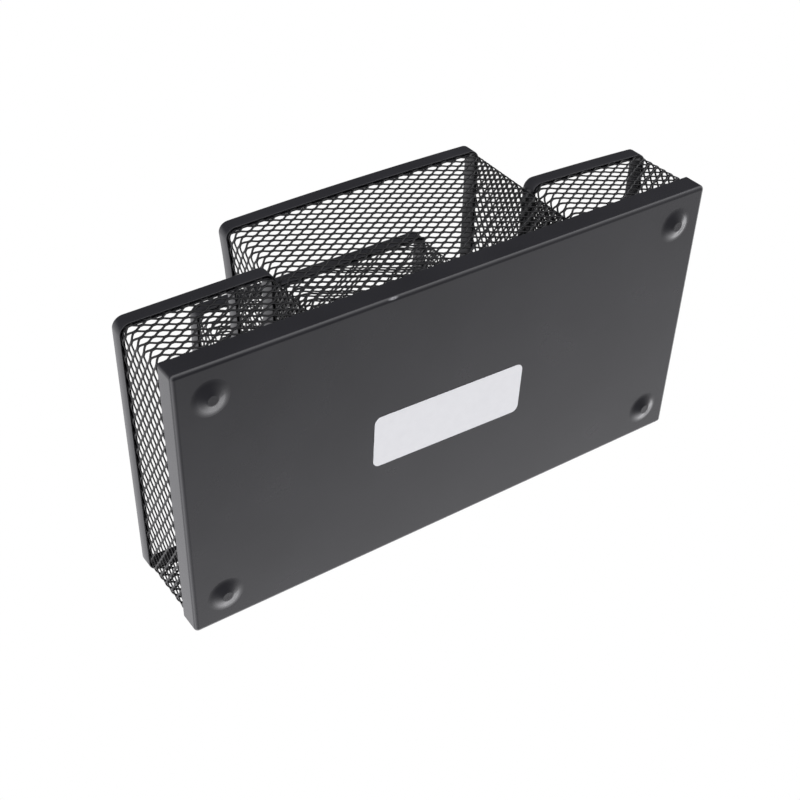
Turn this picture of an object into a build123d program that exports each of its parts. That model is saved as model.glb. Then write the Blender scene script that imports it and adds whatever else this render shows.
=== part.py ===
from build123d import *

# Mesh desk organizer: four open cups of black expanded metal standing in one shallow stamped tray.
# Frame: millimetres, +X along the long side, +Y from the low front to the tall back, +Z up.
# The origin is on the resting plane, under the middle of the tray.
import os
from dataclasses import dataclass

# Tray: one stamped sheet with an upturned flange and four pressed feet.
tray_length = 205.0
tray_depth = 103.5
tray_sheet = 0.5
tray_flange_height = 8.2
tray_corner_radius = 1.5
tray_bend_radius = 1.4

foot_height = 1.5
foot_flat_radius = 1.9
foot_base_radius = 5.5
foot_tip_blend = 1.4
foot_base_blend = 5.0
foot_blend_end = 7.2
foot_inset = 11.8

# Cup walls: one loop of expanded sheet for each cup. Sizes are taken on the wall's middle surface.
# The outer sides stand inside the tray's flange, and some of them lean out towards the rim.
wall_thickness = 0.7
wall_corner_radius = 3.0
side_cup_lean = 1.1
middle_cup_lean = 1.0
middle_cup_half_width = 50.1
back_cup_front_y = -0.8

# Rims: a thin strip folded over the top edge of each wall. The wall lies against its outer skirt.
rim_sheet = 0.45
rim_thickness = 2.2
rim_skirt = 5.5
rim_edge_radius = 0.6
side_rim_top = 37.8
front_rim_top = 69.6
back_rim_top = 98.6

# Sticker on the underside, put on by hand and so not quite square to the tray.
label_length = 60.6
label_width = 20.2
label_thickness = 0.15
label_corner_radius = 2.5
label_centre = (-3.4, 3.2)
label_turn = 1.4

# Levels and planes that follow from the dimensions above.
underside_z = foot_height
floor_z = underside_z + tray_sheet
flange_top_z = underside_z + tray_flange_height
half_wall = wall_thickness / 2
rim_outer_offset = half_wall + rim_sheet
rim_inner_offset = rim_outer_offset - rim_thickness
end_wall_x = tray_length / 2 - tray_sheet - half_wall
outer_wall_y = tray_depth / 2 - tray_sheet - half_wall
side_cup_inner_x = middle_cup_half_width + half_wall + rim_outer_offset
front_cup_back_y = back_cup_front_y - half_wall - rim_outer_offset


@dataclass
class Cup:
    """The middle surface of one cup's wall at the tray floor, and the height of its rim."""

    x_min: float
    x_max: float
    y_min: float
    y_max: float
    rim_top: float
    end_lean: float = 0.0
    face_lean: float = 0.0

    def at_rim(self):
        """The same cup at its rim, where its ends and faces next to the tray's flange have leant out."""
        return Cup(
            self.x_min - self.end_lean * (self.x_min == -end_wall_x),
            self.x_max + self.end_lean * (self.x_max == end_wall_x),
            self.y_min - self.face_lean * (self.y_min == -outer_wall_y),
            self.y_max + self.face_lean * (self.y_max == outer_wall_y),
            self.rim_top,
        )

    def outline(self, offset, z):
        """The cup's outline at one height. A positive offset is outward."""
        length = self.x_max - self.x_min + 2 * offset
        depth = self.y_max - self.y_min + 2 * offset
        centre = Pos((self.x_min + self.x_max) / 2, (self.y_min + self.y_max) / 2, z)
        return centre * RectangleRounded(length, depth, wall_corner_radius + offset)

    def block(self, offset, z_low, z_high):
        return extrude(self.outline(offset, z_low), z_high - z_low)


def rounded_block(length, depth, corner_radius, z_low, z_high, centre=(0, 0)):
    """An upright block with rounded vertical edges."""
    outline = RectangleRounded(length, depth, corner_radius)
    return Pos(centre[0], centre[1], z_low) * extrude(outline, z_high - z_low)


def foot_body(z_tip):
    """A pressed foot with its tip at z_tip, filled up to the level where it leaves the flat sheet."""
    z_flat = z_tip + foot_height
    surface = FilletPolyline(
        (0, z_tip),
        (foot_flat_radius, z_tip),
        (foot_base_radius, z_flat),
        (foot_blend_end, z_flat),
        radius=(foot_tip_blend, foot_base_blend),
    )
    closing = Polyline((foot_blend_end, z_flat), (0, z_flat), (0, z_tip))
    return revolve(make_face(Plane.XZ * (surface + closing)), Axis.Z)


def make_tray():
    """A shallow pan with thin walls. Its feet are pressed out of the floor and are hollow inside."""
    shell = rounded_block(tray_length, tray_depth, tray_corner_radius, underside_z, flange_top_z)
    shell = fillet(shell.edges().group_by(Axis.Z)[0], tray_bend_radius)
    inside = rounded_block(
        tray_length - 2 * tray_sheet,
        tray_depth - 2 * tray_sheet,
        tray_corner_radius - tray_sheet,
        floor_z,
        flange_top_z,
    )
    tray = shell - inside
    foot_x = tray_length / 2 - foot_inset
    foot_y = tray_depth / 2 - foot_inset
    for x in (-foot_x, foot_x):
        for y in (-foot_y, foot_y):
            tray += Pos(x, y, 0) * foot_body(0)
            tray -= Pos(x, y, 0) * foot_body(tray_sheet)
    return tray


def make_wall(cup):
    """A closed loop of sheet: upright in the tray, then leaning out, then upright inside the rim."""
    skirt_low = cup.rim_top - rim_skirt
    top = cup.rim_top - rim_sheet
    outside, inside = (
        cup.block(offset, floor_z, flange_top_z)
        + loft([cup.outline(offset, flange_top_z), cup.at_rim().outline(offset, skirt_low)])
        + cup.at_rim().block(offset, skirt_low, top)
        for offset in (half_wall, -half_wall)
    )
    return outside - inside


def make_rim(cup):
    """A folded channel, open downward. Its outer skirt lies against the wall."""
    rim = cup.at_rim()
    low = cup.rim_top - rim_skirt
    slot_top = cup.rim_top - rim_sheet
    channel = rim.block(rim_outer_offset, low, cup.rim_top) - rim.block(rim_inner_offset, low, cup.rim_top)
    channel = fillet(channel.edges().group_by(Axis.Z)[-1], rim_edge_radius)
    slot = rim.block(half_wall, low, slot_top) - rim.block(rim_inner_offset + rim_sheet, low, slot_top)
    return channel - slot


def make_label():
    """A thin rectangular sticker on the flat of the underside."""
    low = underside_z - label_thickness
    sticker = rounded_block(label_length, label_width, label_corner_radius, low, underside_z)
    return Pos(label_centre[0], label_centre[1], 0) * Rot(0, 0, label_turn) * sticker


middle_x = (-middle_cup_half_width, middle_cup_half_width)
full_depth = (-outer_wall_y, outer_wall_y)
cups = {
    "left_cup": Cup(-end_wall_x, -side_cup_inner_x, *full_depth, side_rim_top, end_lean=side_cup_lean),
    "right_cup": Cup(side_cup_inner_x, end_wall_x, *full_depth, side_rim_top, end_lean=side_cup_lean),
    "front_cup": Cup(*middle_x, -outer_wall_y, front_cup_back_y, front_rim_top, face_lean=middle_cup_lean),
    "back_cup": Cup(*middle_x, back_cup_front_y, outer_wall_y, back_rim_top, face_lean=middle_cup_lean),
}

nodes = {"base_tray": make_tray(), "underside_label": make_label()}
for name, cup in cups.items():
    nodes[name + "_mesh"] = make_wall(cup)
    nodes[name + "_rim"] = make_rim(cup)

os.makedirs("parts", exist_ok=True)
for name, shape in nodes.items():
    export_step(shape, f"parts/{name}.step")
    size = shape.bounding_box().size
    print(f"{name}: {len(shape.solids())} solid, {size.X:.1f} x {size.Y:.1f} x {size.Z:.1f} mm")
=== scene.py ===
"""Looks of the mesh desk organizer: expanded-metal cup walls, powder-coated sheet metal and a studio."""
import math

import bpy
import numpy as np
from mathutils import Matrix, Vector


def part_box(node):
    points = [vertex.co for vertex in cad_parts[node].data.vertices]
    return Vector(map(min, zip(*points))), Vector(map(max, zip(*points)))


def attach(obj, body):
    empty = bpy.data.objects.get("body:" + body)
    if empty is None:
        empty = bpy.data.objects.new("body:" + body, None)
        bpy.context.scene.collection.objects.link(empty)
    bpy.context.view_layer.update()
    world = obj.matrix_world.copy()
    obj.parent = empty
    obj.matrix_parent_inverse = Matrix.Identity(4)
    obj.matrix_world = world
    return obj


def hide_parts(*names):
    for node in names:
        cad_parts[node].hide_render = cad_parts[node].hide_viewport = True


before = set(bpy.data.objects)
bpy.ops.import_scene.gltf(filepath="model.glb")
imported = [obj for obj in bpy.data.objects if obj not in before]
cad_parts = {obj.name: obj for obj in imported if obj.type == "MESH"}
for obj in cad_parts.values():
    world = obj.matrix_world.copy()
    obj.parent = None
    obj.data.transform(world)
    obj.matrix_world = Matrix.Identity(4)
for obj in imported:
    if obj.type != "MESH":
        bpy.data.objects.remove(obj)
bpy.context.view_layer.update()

MM = 0.001
CUPS = ("left_cup", "right_cup", "front_cup", "back_cup")

# Expanded metal. The long way of each opening runs round the cup.
WALL_THICKNESS = 0.7 * MM
WALL_CORNER_RADIUS = 3.0 * MM
OPENING_LENGTH = 6.1 * MM
OPENING_HEIGHT = {
    "left_cup": 3.6 * MM,
    "right_cup": 3.6 * MM,
    "front_cup": 3.65 * MM,
    "back_cup": 3.65 * MM,
}
STRAND_WIDTH = 0.55 * MM
STRAND_THICKNESS = 0.43 * MM
STRAND_TILT = math.radians(-10)
BOND_LENGTH = 0.9 * MM
BEND_RUN = 0.3 * MM

# Where the pattern starts on each cup, as parts of an opening's length and height.
PATTERN_START = {
    "left_cup": (-0.1, 0.37),
    "right_cup": (-0.39, 0.06),
    "front_cup": (0.51, 0),
    "back_cup": (0, 0),
}

# The four corners of a strand's section, as signs across the strand and through the sheet, and
# which of them make its lower and its upper edge.
STRAND_CORNERS = ((-1, -1), (-1, 1), (1, 1), (1, -1))
LOWER_EDGE = (0, 1)
UPPER_EDGE = (3, 2)

# Sheet metal: the tray and the folded rims.
TRAY_SHEET = 0.5 * MM
RIM_SHEET = 0.45 * MM
RIM_THICKNESS = 2.2 * MM
RIM_OUTER_OFFSET = WALL_THICKNESS / 2 + RIM_SHEET
RIM_INNER_OFFSET = RIM_OUTER_OFFSET - RIM_THICKNESS
RIM_EDGE_RADIUS = 0.6 * MM
RIM_LIP_RADIUS = 0.14 * MM
RIM_CRIMP = 0.6 * MM
RIM_CORNER_STEPS = 10
RIM_SIDE_STEPS = 16

# How far each rim is out of true, in mm. Each cup has its rim's corners from the front left,
# counterclockwise, as (x, y), and then how far its front, right, back and left sides bow outward.
OUT_OF_TRUE = {
    "left_cup": (((0, 0.15), (0, -0.5), (0, -1.2), (0.3, -2.7)), (0, 0, 0, 0)),
    "right_cup": (((0.85, -0.8), (0, 1.3), (0, -1), (1.5, -1)), (0.2, 0, 0, 0)),
    "front_cup": (((0.2, 1.7), (1.5, 0.85), (2.2, -0.5), (2.6, -0.5)), (0.7, 0, 0, -0.8)),
    "back_cup": (((1.4, -0.4), (1.5, -0.5), (0.8, 0), (0.3, 0)), (0, 0, 0, 0)),
}

# Finishes, in linear colours. A coat's roughness and colour wander from its own by these spreads,
# between the low and the high value of a slow noise, and its orange peel is a fine noise.
SHEET_COLOUR = (0.018, 0.018, 0.021)
TRAY_ROUGHNESS = 0.25
RIM_ROUGHNESS = 0.28
STRAND_COLOUR = (0.01, 0.01, 0.011)
STRAND_ROUGHNESS = 0.34
STRAND_SPECULAR = 0.3
ROUGHNESS_SPREAD = 0.03
COLOUR_SPREAD = (0.9, 1.12)
ROUGHNESS_RANGE = (0.3, 0.7)
COLOUR_RANGE = (0.3, 0.75)
CLOUD_SCALE = 35.0
PEEL_SCALE = 900.0
PEEL_STRENGTH = 0.02
PEEL_DISTANCE = 0.4 * MM
STICKER_COLOURS = ((0.80, 0.805, 0.82), (0.86, 0.865, 0.88))
STICKER_ROUGHNESS = 0.45
FIBRE_SCALE = 400.0

# A painted glint on the bend along the front of the tray: a small uneven light spot painted into the
# coat's colour. Its centre, its half sizes, and the part of them within which it is brightest.
PAINTED_GLINT_SPOT = Vector((-27.4, -51.35, 1.9)) * MM
PAINTED_GLINT_REACH = Vector((2.3, 0.6, 0.55)) * MM
PAINTED_GLINT_COLOUR = (0.42, 0.42, 0.44)
PAINTED_GLINT_CORE = 0.3
PAINTED_GLINT_SCATTER = 1500.0

# The view from below and from the front left, as if the organizer were tipped back.
CAMERA_PLACE = Vector((-224.857, -275.546, -275.594)) * MM
CAMERA_FORWARD = Vector((0.443632, 0.638922, 0.628465))
CAMERA_UP = Vector((0.346291, -0.768991, 0.537340))
CAMERA_LENS = 60.52
CAMERA_SHIFT = (0.01865, 0.0600)
CAMERA_SENSOR = 36
CAMERA_CLIP = (0.01, 20)

# The studio: a dim room with a bright band round the horizon, a large soft box up at the back left
# and a light overhead. A pair of numbers is where a light starts and where it is full: for the band,
# the z of a unit vector, and for the two round lights, degrees from their direction.
ROOM_COLOUR = (0.98, 0.975, 1)
ROOM_LEVEL = 0.08
BAND_STRENGTH = 2.5
BAND_BELOW = (-0.97, -0.22)
BAND_ABOVE = (0.35, 0.0)
SOFT_BOX_DIRECTION = Vector((-0.45, 0.63, 0.63))
SOFT_BOX_STRENGTH = 1.05
SOFT_BOX_ANGLES = (65, 30)
OVERHEAD_DIRECTION = Vector((-0.1, 0.45, 0.89))
OVERHEAD_STRENGTH = 1.1
OVERHEAD_ANGLES = (45, 18)

# Low down, the band is dimmer on the right: the x of a unit vector where it is dark and where it is
# full, and the z where that dimming starts to fade and where it is gone.
BAND_SIDE = (1.2, 0.2)
BAND_SIDE_END = (-0.5, -0.1)

# The floor.
FLOOR_HALF = 2.0
FLOOR_COLOUR = (0.86, 0.86, 0.85)
FLOOR_ROUGHNESS = 0.8
FLOOR_GLOW = 0.25


def new_object(name, mesh):
    piece = bpy.data.objects.new(name, mesh)
    bpy.context.scene.collection.objects.link(piece)
    return piece


def mesh_object(name, points, quads):
    """A mesh of quads. Points that no quad uses are left out."""
    used, compact = np.unique(quads, return_inverse=True)
    quads = compact.reshape(quads.shape)
    mesh = bpy.data.meshes.new(name)
    mesh.vertices.add(len(used))
    mesh.vertices.foreach_set("co", points.reshape(-1, 3)[used].ravel())
    mesh.loops.add(quads.size)
    mesh.loops.foreach_set("vertex_index", quads.ravel().astype(np.int32))
    mesh.polygons.add(len(quads))
    mesh.polygons.foreach_set("loop_start", np.arange(0, quads.size, 4, dtype=np.int32))
    mesh.update(calc_edges=True)
    mesh.validate()
    return new_object(name, mesh)


def loop_length(size, radius):
    """The length round a rounded rectangle."""
    return 2 * (size[0] + size[1]) - (8 - 2 * math.pi) * radius


def loop_point(s, size, radius):
    """Points and outward normals on a rounded rectangle centred on the origin, at arc lengths s."""
    half = np.array(size) / 2
    inner = half - radius
    turn = math.pi / 2 * radius
    lengths = [2 * inner[0], turn, 2 * inner[1], turn] * 2
    starts = np.concatenate([[0], np.cumsum(lengths)])
    s = np.mod(s, starts[-1])
    leg = np.clip(np.searchsorted(starts, s, side="right") - 1, 0, 7)
    along = s - starts[leg]
    side = leg // 2
    on_turn = leg % 2 == 1
    angle = side * math.pi / 2 + np.where(on_turn, along / radius, 0)
    tangent = np.stack([np.cos(angle), np.sin(angle)], -1)
    normal = np.stack([np.sin(angle), -np.cos(angle)], -1)
    run_start = np.array([(-1, -1), (1, -1), (1, 1), (-1, 1)]) * inner
    run_start = run_start + np.array([(0, -1), (1, 0), (0, 1), (-1, 0)]) * radius
    turn_centre = np.array([(1, -1), (1, 1), (-1, 1), (-1, -1)]) * inner
    on_run = run_start[side] + tangent * along[..., None]
    on_arc = turn_centre[side] + normal * radius
    return np.where(on_turn[..., None], on_arc, on_run), normal


def bulge(t):
    """How far a bowed side stands out: 0 at its ends and 1 in its middle."""
    return 4 * t * (1 - t)


class Plan:
    """The middle surface of one cup's wall in plan, at the tray and at the rim, in metres."""

    def __init__(self, cup):
        rim_low, rim_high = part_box(cup + "_rim")
        tray_low, tray_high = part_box("base_tray")
        inset = TRAY_SHEET + WALL_THICKNESS / 2
        self.rim_low = np.array(rim_low.xy) + RIM_OUTER_OFFSET
        self.rim_high = np.array(rim_high.xy) - RIM_OUTER_OFFSET
        self.low = np.maximum(self.rim_low, np.array(tray_low.xy) + inset)
        self.high = np.minimum(self.rim_high, np.array(tray_high.xy) - inset)
        self.size = self.high - self.low
        self.flange_top = tray_high.z
        self.skirt_low = rim_low.z
        self.rim_top = rim_high.z
        self.corners, self.bows = (np.array(v, float) * MM for v in OUT_OF_TRUE[cup])

    def lean(self, points):
        """Move points of an upright wall on the tray's plan to where the wall really leans."""
        rise = np.clip((points[..., 2] - self.flange_top) / (self.skirt_low - self.flange_top), 0, 1)
        part = np.clip((points[..., :2] - self.low) / self.size, 0, 1)
        u, v = part[..., 0], part[..., 1]
        at_rim = points[..., :2] + (self.rim_low - self.low) * (1 - part) + (self.rim_high - self.high) * part
        for corner, weight in zip(self.corners, ((1 - u) * (1 - v), u * (1 - v), u * v, (1 - u) * v)):
            at_rim = at_rim + corner * weight[..., None]
        front, right, back, left = self.bows
        at_rim[..., 0] += bulge(v) * (right * u - left * (1 - u))
        at_rim[..., 1] += bulge(u) * (back * v - front * (1 - v))
        moved = points.copy()
        moved[..., :2] += (at_rim - points[..., :2]) * rise[..., None]
        return moved


def bend_angle(rise, run):
    """The slope of a strand whose two ends bend over BEND_RUN each, found by repeated guesses."""
    guesses = 20
    angle = math.atan2(rise, run - BEND_RUN)
    for _ in range(guesses):
        straight_rise = rise - 2 * BEND_RUN * math.tan(angle / 2)
        angle = math.atan2(straight_rise, run - 2 * BEND_RUN)
    return angle


def zigzag(period, rise):
    """One period of a strand, from a lower bond up to an upper bond and down again.

    Each section has its distance round the cup, its height and its slope.
    """
    angle = bend_angle(rise, period / 2 - BOND_LENGTH)
    half_bond = BOND_LENGTH / 2
    bent = BEND_RUN * math.tan(angle / 2)
    up = [
        (-half_bond, 0.0, 0.0),
        (half_bond, 0.0, 0.0),
        (half_bond + BEND_RUN, bent, angle),
        (period / 4, rise / 2, angle),
        (period / 2 - half_bond - BEND_RUN, rise - bent, angle),
    ]
    down = [(s + period / 2, rise - h, -a) for s, h, a in up]
    return np.array(up + down)


def join_rows(index, upper_bond):
    """Each row's lower bonds share the points of the upper bonds in the row below."""
    for upper in range(1, len(index)):
        joined = index[upper - 1, :, upper_bond : upper_bond + 2]
        if upper % 2 == 0:
            joined = np.roll(joined, 1, axis=0)
        for shared, own in zip(UPPER_EDGE, LOWER_EDGE):
            index[upper, :, 0:2, own] = joined[..., shared]


def strand_faces(index, upper_bond):
    """The four sides of every strand, without the faces that lie inside a bond."""
    following = np.concatenate([index[:, :, 1:], np.roll(index, -1, axis=1)[:, :, :1]], axis=2)
    faces = []
    for a, b in ((0, 1), (1, 2), (2, 3), (3, 0)):
        quads = np.stack([index[..., a], index[..., b], following[..., b], following[..., a]], -1)
        keep = np.ones(quads.shape[:3], bool)
        if {a, b} == set(LOWER_EDGE):
            keep[1:, :, 0] = False
        if {a, b} == set(UPPER_EDGE):
            keep[:-1, :, upper_bond] = False
        faces.append(quads[keep])
    return np.concatenate(faces)


def expanded_mesh(name, plan, low, high, opening_height, start):
    """A closed loop of expanded metal between two heights.

    Each row is one strand that zigzags round the cup, and it is joined to the rows above and
    below at its bonds, half a period apart.
    """
    length = loop_length(plan.size, WALL_CORNER_RADIUS)
    periods = round(length / OPENING_LENGTH)
    period = length / periods
    row_height = opening_height / 2
    low = low + start[1] * opening_height
    rows = int((high - low) / row_height)
    rise = row_height - STRAND_WIDTH * math.cos(STRAND_TILT)
    sections = zigzag(period, rise)

    row = np.arange(rows)[:, None, None]
    turn = np.arange(periods)[None, :, None]
    s = sections[:, 0] + (turn + start[0] + (row % 2) / 2) * period
    lift = sections[:, 1] + 0 * s
    slope = sections[:, 2] + 0 * s
    half_width = STRAND_WIDTH / 2
    height = low + row * row_height + half_width * math.cos(STRAND_TILT) + lift
    depth = half_width * math.sin(STRAND_TILT) * (1 - 2 * lift / rise)

    sheet_normal = np.array([0, -math.sin(STRAND_TILT), math.cos(STRAND_TILT)])
    along = np.stack([np.cos(slope), np.sin(slope), 0 * slope], -1)
    across = np.cross(sheet_normal, along)
    middle = np.stack([s, height, depth], -1)
    corners = []
    for side, face in STRAND_CORNERS:
        corners.append(middle + across * side * half_width + sheet_normal * face * STRAND_THICKNESS / 2)
    flat = np.stack(corners, -2)

    place, outward = loop_point(flat[..., 0], plan.size, WALL_CORNER_RADIUS)
    points = np.empty(flat.shape)
    points[..., :2] = place + outward * flat[..., 2:3] + (plan.low + plan.high) / 2
    points[..., 2] = flat[..., 1]

    index = np.arange(flat[..., 0].size).reshape(flat.shape[:-1])
    upper_bond = len(sections) // 2
    join_rows(index, upper_bond)
    return mesh_object(name, plan.lean(points), strand_faces(index, upper_bond))


def arc(centre, radius, start, end, steps=4):
    """Points on an arc in a rim's section, angles in degrees from outward towards up."""
    angles = np.radians(np.linspace(start, end, steps + 1))
    return [(centre[0] + radius * math.cos(a), centre[1] + radius * math.sin(a)) for a in angles]


def lip(outer, inner, height):
    """The rounded lower edge of a skirt between two offsets."""
    low = height + RIM_LIP_RADIUS
    start = arc((inner + RIM_LIP_RADIUS, low), RIM_LIP_RADIUS, 180, 270, 2)
    return start + arc((outer - RIM_LIP_RADIUS, low), RIM_LIP_RADIUS, 270, 360, 2)


def rim_section(skirt):
    """A folded channel's outline as (offset from the wall, height from the rim's top).

    The inner skirt is pressed towards the wall at its lower edge.
    """
    fold = RIM_EDGE_RADIUS - RIM_SHEET
    inside = RIM_INNER_OFFSET + RIM_SHEET
    outside = RIM_OUTER_OFFSET - RIM_SHEET
    points = lip(inside + RIM_CRIMP, RIM_INNER_OFFSET + RIM_CRIMP, -skirt)
    points += arc((inside + fold, -RIM_EDGE_RADIUS), fold, 180, 90, 2)
    points += arc((outside - fold, -RIM_EDGE_RADIUS), fold, 90, 0, 2)
    points += lip(RIM_OUTER_OFFSET, outside, -skirt)
    points += arc((RIM_OUTER_OFFSET - RIM_EDGE_RADIUS, -RIM_EDGE_RADIUS), RIM_EDGE_RADIUS, 0, 90)
    points += arc((RIM_INNER_OFFSET + RIM_EDGE_RADIUS, -RIM_EDGE_RADIUS), RIM_EDGE_RADIUS, 90, 180)
    return points


def ring(size, radius):
    """A rounded rectangle as points that match, one for one, those of any other size and radius."""
    inner = np.array(size) / 2 - radius
    points = []
    for quarter, (sx, sy) in enumerate(((1, -1), (1, 1), (-1, 1), (-1, -1))):
        centre = inner * (sx, sy)
        angles = (quarter - 1) * math.pi / 2 + np.linspace(0, math.pi / 2, RIM_CORNER_STEPS + 1)
        turn = centre + radius * np.stack([np.cos(angles), np.sin(angles)], -1)
        following = inner * (((1, 1), (-1, 1), (-1, -1), (1, -1))[quarter])
        heading = (math.cos(angles[-1]), math.sin(angles[-1]))
        start, end = turn[-1], following + radius * np.array(heading)
        fractions = np.arange(1, RIM_SIDE_STEPS)[:, None] / RIM_SIDE_STEPS
        points.append(turn)
        points.append(start + (end - start) * fractions)
    return np.concatenate(points)


def rim_mesh(name, plan):
    """A strip folded over the wall's edge, with the wall against its outer skirt."""
    rings = []
    for offset, height in rim_section(plan.rim_top - plan.skirt_low):
        line = ring(plan.size + 2 * offset, WALL_CORNER_RADIUS + offset) + (plan.low + plan.high) / 2
        rings.append(np.column_stack([line, np.full(len(line), plan.rim_top + height)]))
    points = np.stack(rings)
    index = np.arange(points[..., 0].size).reshape(points.shape[:-1])
    across, along = np.roll(index, -1, axis=0), np.roll(index, -1, axis=1)
    both = np.roll(across, -1, axis=1)
    quads = np.stack([index, across, both, along], -1).reshape(-1, 4)
    piece = mesh_object(name, plan.lean(points), quads)
    piece.data.shade_smooth()
    return piece


def new_material(name):
    """A new material with its node tree and its shader."""
    material = bpy.data.materials.new(name)
    material.use_nodes = True
    return material, material.node_tree, material.node_tree.nodes["Principled BSDF"]


def feed(tree, socket, value):
    """Give an input a value, or link it to an output."""
    if isinstance(value, bpy.types.NodeSocket):
        tree.links.new(value, socket)
    else:
        socket.default_value = value


def add_node(tree, kind, inputs=None, **settings):
    """A new shader node. The inputs to feed are given by name or number."""
    node = tree.nodes.new("ShaderNode" + kind)
    for name, value in settings.items():
        setattr(node, name, value)
    for key, value in (inputs or {}).items():
        feed(tree, node.inputs[key], value)
    return node


def combine(tree, operation, first, second):
    return add_node(tree, "Math", {0: first, 1: second}, operation=operation).outputs["Value"]


def smooth_step(tree, value, start, full, strength=1.0):
    """Nothing at start, strength at full, and smooth between them."""
    limits = {"From Min": start, "From Max": full, "To Max": strength}
    step = add_node(tree, "MapRange", {"Value": value, **limits}, interpolation_type="SMOOTHSTEP")
    return step.outputs["Result"]


def noise(tree, scale, detail=2.0):
    """Noise that stays with the piece."""
    where = add_node(tree, "TexCoord").outputs["Object"]
    return add_node(tree, "TexNoise", {"Vector": where, "Scale": scale, "Detail": detail}).outputs["Fac"]


def colour_ramp(tree, value, start, end, positions=(0.0, 1.0)):
    """One colour up to the first position and another from the second, with a blend between them."""
    ramp = add_node(tree, "ValToRGB", {"Fac": value})
    for element, position, colour in zip(ramp.color_ramp.elements, positions, (start, end)):
        element.position = position
        element.color = (*colour, 1)
    return ramp.outputs["Color"]


def powder_coat(name, colour, roughness, specular=0.5):
    """Satin powder coat: fine orange peel, with slow changes of gloss and colour."""
    material, tree, shader = new_material(name)
    peel = noise(tree, PEEL_SCALE, detail=3.0)
    relief = add_node(
        tree, "Bump", {"Height": peel, "Strength": PEEL_STRENGTH, "Distance": PEEL_DISTANCE}
    )
    cloud = noise(tree, CLOUD_SCALE, detail=6.0)
    limits = {
        "From Min": ROUGHNESS_RANGE[0],
        "From Max": ROUGHNESS_RANGE[1],
        "To Min": roughness - ROUGHNESS_SPREAD,
        "To Max": roughness + ROUGHNESS_SPREAD,
    }
    gloss = add_node(tree, "MapRange", {"Value": cloud, **limits})
    dark, light = ([c * part for c in colour] for part in COLOUR_SPREAD)
    feed(tree, shader.inputs["Specular IOR Level"], specular)
    feed(tree, shader.inputs["Normal"], relief.outputs["Normal"])
    feed(tree, shader.inputs["Roughness"], gloss.outputs["Result"])
    feed(tree, shader.inputs["Base Color"], colour_ramp(tree, cloud, dark, light, COLOUR_RANGE))
    return material


def paint_glint_spot(material, centre, reach, colour):
    """Paint a glint into the coat's colour: one small uneven light spot with the given half sizes."""
    tree = material.node_tree
    base_colour = tree.nodes["Principled BSDF"].inputs["Base Color"]
    coat = base_colour.links[0].from_socket
    where = add_node(tree, "TexCoord").outputs["Object"]
    place = add_node(tree, "VectorMath", {0: where, 1: centre}, operation="SUBTRACT")
    scaled = add_node(tree, "VectorMath", {0: place.outputs["Vector"], 1: reach}, operation="DIVIDE")
    distance = add_node(tree, "VectorMath", {0: scaled.outputs["Vector"]}, operation="LENGTH")
    near = smooth_step(tree, distance.outputs["Value"], 1.0, PAINTED_GLINT_CORE)
    glint_mask = combine(tree, "MULTIPLY", near, noise(tree, PAINTED_GLINT_SCATTER))
    # The painted glint: inside the spot, the coat's colour blends towards the light colour.
    mix = add_node(tree, "MixRGB", {"Fac": glint_mask, "Color1": coat, "Color2": (*colour, 1)})
    feed(tree, base_colour, mix.outputs["Color"])


def sticker_vinyl(name):
    material, tree, shader = new_material(name)
    feed(tree, shader.inputs["Roughness"], STICKER_ROUGHNESS)
    fibre = noise(tree, FIBRE_SCALE, detail=5.0)
    feed(tree, shader.inputs["Base Color"], colour_ramp(tree, fibre, *STICKER_COLOURS))
    return material


def paint(piece, material):
    piece.data.materials.clear()
    piece.data.materials.append(material)


def make_camera():
    data = bpy.data.cameras.new("camera")
    data.lens = CAMERA_LENS
    data.sensor_width = CAMERA_SENSOR
    data.shift_x, data.shift_y = CAMERA_SHIFT
    data.clip_start, data.clip_end = CAMERA_CLIP
    camera = new_object("camera", data)
    right = CAMERA_FORWARD.cross(CAMERA_UP)
    turn = Matrix((right, CAMERA_UP, -CAMERA_FORWARD)).transposed()
    camera.matrix_world = Matrix.Translation(CAMERA_PLACE) @ turn.to_4x4()
    bpy.context.scene.camera = camera


def round_light(tree, where, direction, angles, strength):
    """A round patch of light, with the angles from its direction where it starts and where it is full."""
    towards = add_node(tree, "VectorMath", {0: where, 1: direction.normalized()}, operation="DOT_PRODUCT")
    edges = [math.cos(math.radians(angle)) for angle in angles]
    return smooth_step(tree, towards.outputs["Value"], *edges, strength)


def make_world():
    """White behind the object. What lights it is the room, which camera rays don't see."""
    world = bpy.data.worlds.new("studio")
    bpy.context.scene.world = world
    world.use_nodes = True
    tree = world.node_tree
    backdrop = tree.nodes["Background"]
    backdrop.inputs["Color"].default_value = (1, 1, 1, 1)

    where = add_node(tree, "TexCoord").outputs["Generated"]
    axes = add_node(tree, "SeparateXYZ", {"Vector": where})
    below = smooth_step(tree, axes.outputs["Z"], *BAND_BELOW)
    above = smooth_step(tree, axes.outputs["Z"], *BAND_ABOVE, BAND_STRENGTH)
    side = smooth_step(tree, axes.outputs["X"], *BAND_SIDE)
    side_end = smooth_step(tree, axes.outputs["Z"], *BAND_SIDE_END)
    band = combine(tree, "MULTIPLY", below, above)
    band = combine(tree, "MULTIPLY", band, combine(tree, "MAXIMUM", side, side_end))
    soft_box = round_light(tree, where, SOFT_BOX_DIRECTION, SOFT_BOX_ANGLES, SOFT_BOX_STRENGTH)
    overhead = round_light(tree, where, OVERHEAD_DIRECTION, OVERHEAD_ANGLES, OVERHEAD_STRENGTH)
    lights = combine(tree, "MAXIMUM", combine(tree, "MAXIMUM", band, soft_box), overhead)
    level = combine(tree, "ADD", lights, ROOM_LEVEL)

    room = add_node(tree, "Background", {"Color": (*ROOM_COLOUR, 1), "Strength": level})
    seen = add_node(tree, "LightPath").outputs["Is Camera Ray"]
    shaders = {1: room.outputs["Background"], 2: backdrop.outputs["Background"]}
    mix = add_node(tree, "MixShader", {"Fac": seen, **shaders})
    feed(tree, tree.nodes["World Output"].inputs["Surface"], mix.outputs["Shader"])


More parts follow.
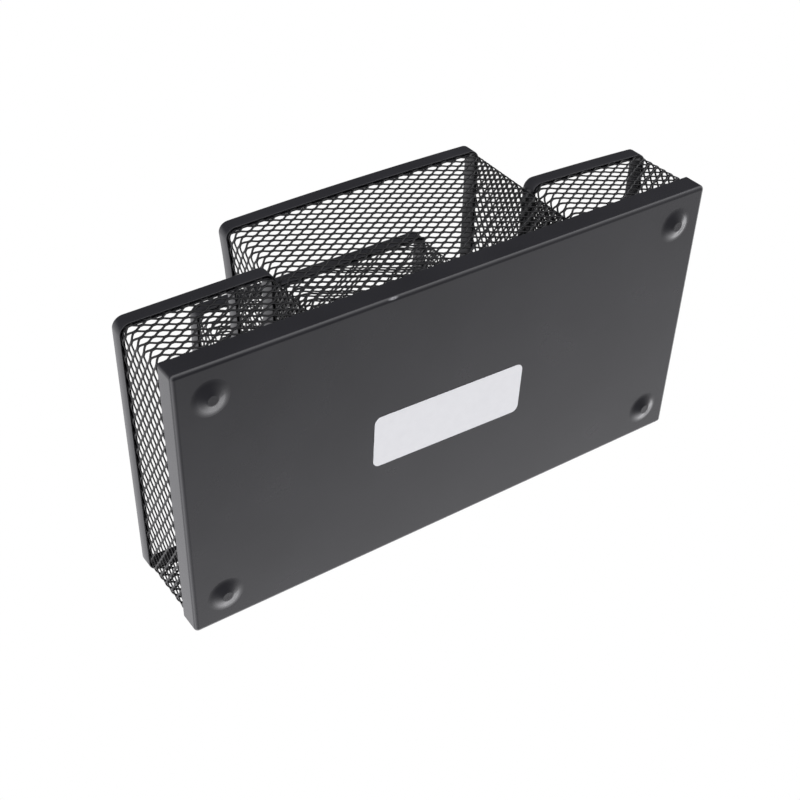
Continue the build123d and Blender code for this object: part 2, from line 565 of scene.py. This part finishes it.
def make_floor():
    """A pale floor under the feet. It shows from above only, so that the underside can be seen."""
    corners = [(x * FLOOR_HALF, y * FLOOR_HALF, 0) for x, y in ((-1, -1), (1, -1), (1, 1), (-1, 1))]
    mesh = bpy.data.meshes.new("floor")
    mesh.from_pydata(corners, [], [(0, 1, 2, 3)])
    floor = new_object("floor", mesh)
    material, tree, shader = new_material("floor")
    feed(tree, shader.inputs["Base Color"], (*FLOOR_COLOUR, 1))
    feed(tree, shader.inputs["Roughness"], FLOOR_ROUGHNESS)
    feed(tree, shader.inputs["Emission Color"], (1, 1, 1, 1))
    feed(tree, shader.inputs["Emission Strength"], FLOOR_GLOW)
    backfacing = add_node(tree, "NewGeometry").outputs["Backfacing"]
    clear = add_node(tree, "BsdfTransparent").outputs["BSDF"]
    mix = add_node(tree, "MixShader", {"Fac": backfacing, 1: shader.outputs["BSDF"], 2: clear})
    feed(tree, tree.nodes["Material Output"].inputs["Surface"], mix.outputs["Shader"])
    paint(floor, material)
    floor.visible_diffuse = False
    floor.visible_glossy = False
    floor.visible_transmission = False
    floor.visible_shadow = False


def stand_for(piece, node, material):
    """The piece replaces a CAD node and takes its place on the body."""
    paint(piece, material)
    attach(piece, "root")
    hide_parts(node)


def make_cups(strand_paint, rim_paint):
    for cup in CUPS:
        wall, rim = cup + "_mesh", cup + "_rim"
        plan = Plan(cup)
        low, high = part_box(wall)
        strands = expanded_mesh(
            cup + "_expanded_metal", plan, low.z, high.z, OPENING_HEIGHT[cup], PATTERN_START[cup]
        )
        stand_for(strands, wall, strand_paint)
        stand_for(rim_mesh(cup + "_folded_rim", plan), rim, rim_paint)


make_camera()
make_world()
make_floor()
strand_coat = powder_coat("strand_coat", STRAND_COLOUR, STRAND_ROUGHNESS, STRAND_SPECULAR)
make_cups(strand_coat, powder_coat("rim_coat", SHEET_COLOUR, RIM_ROUGHNESS))
tray_coat = powder_coat("tray_coat", SHEET_COLOUR, TRAY_ROUGHNESS)
# A painted glint on the tray's front bend, painted into the tray coat's colour.
paint_glint_spot(tray_coat, PAINTED_GLINT_SPOT, PAINTED_GLINT_REACH, PAINTED_GLINT_COLOUR)
paint(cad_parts["base_tray"], tray_coat)
paint(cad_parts["underside_label"], sticker_vinyl("sticker"))

bpy.context.scene.view_settings.view_transform = "Standard"
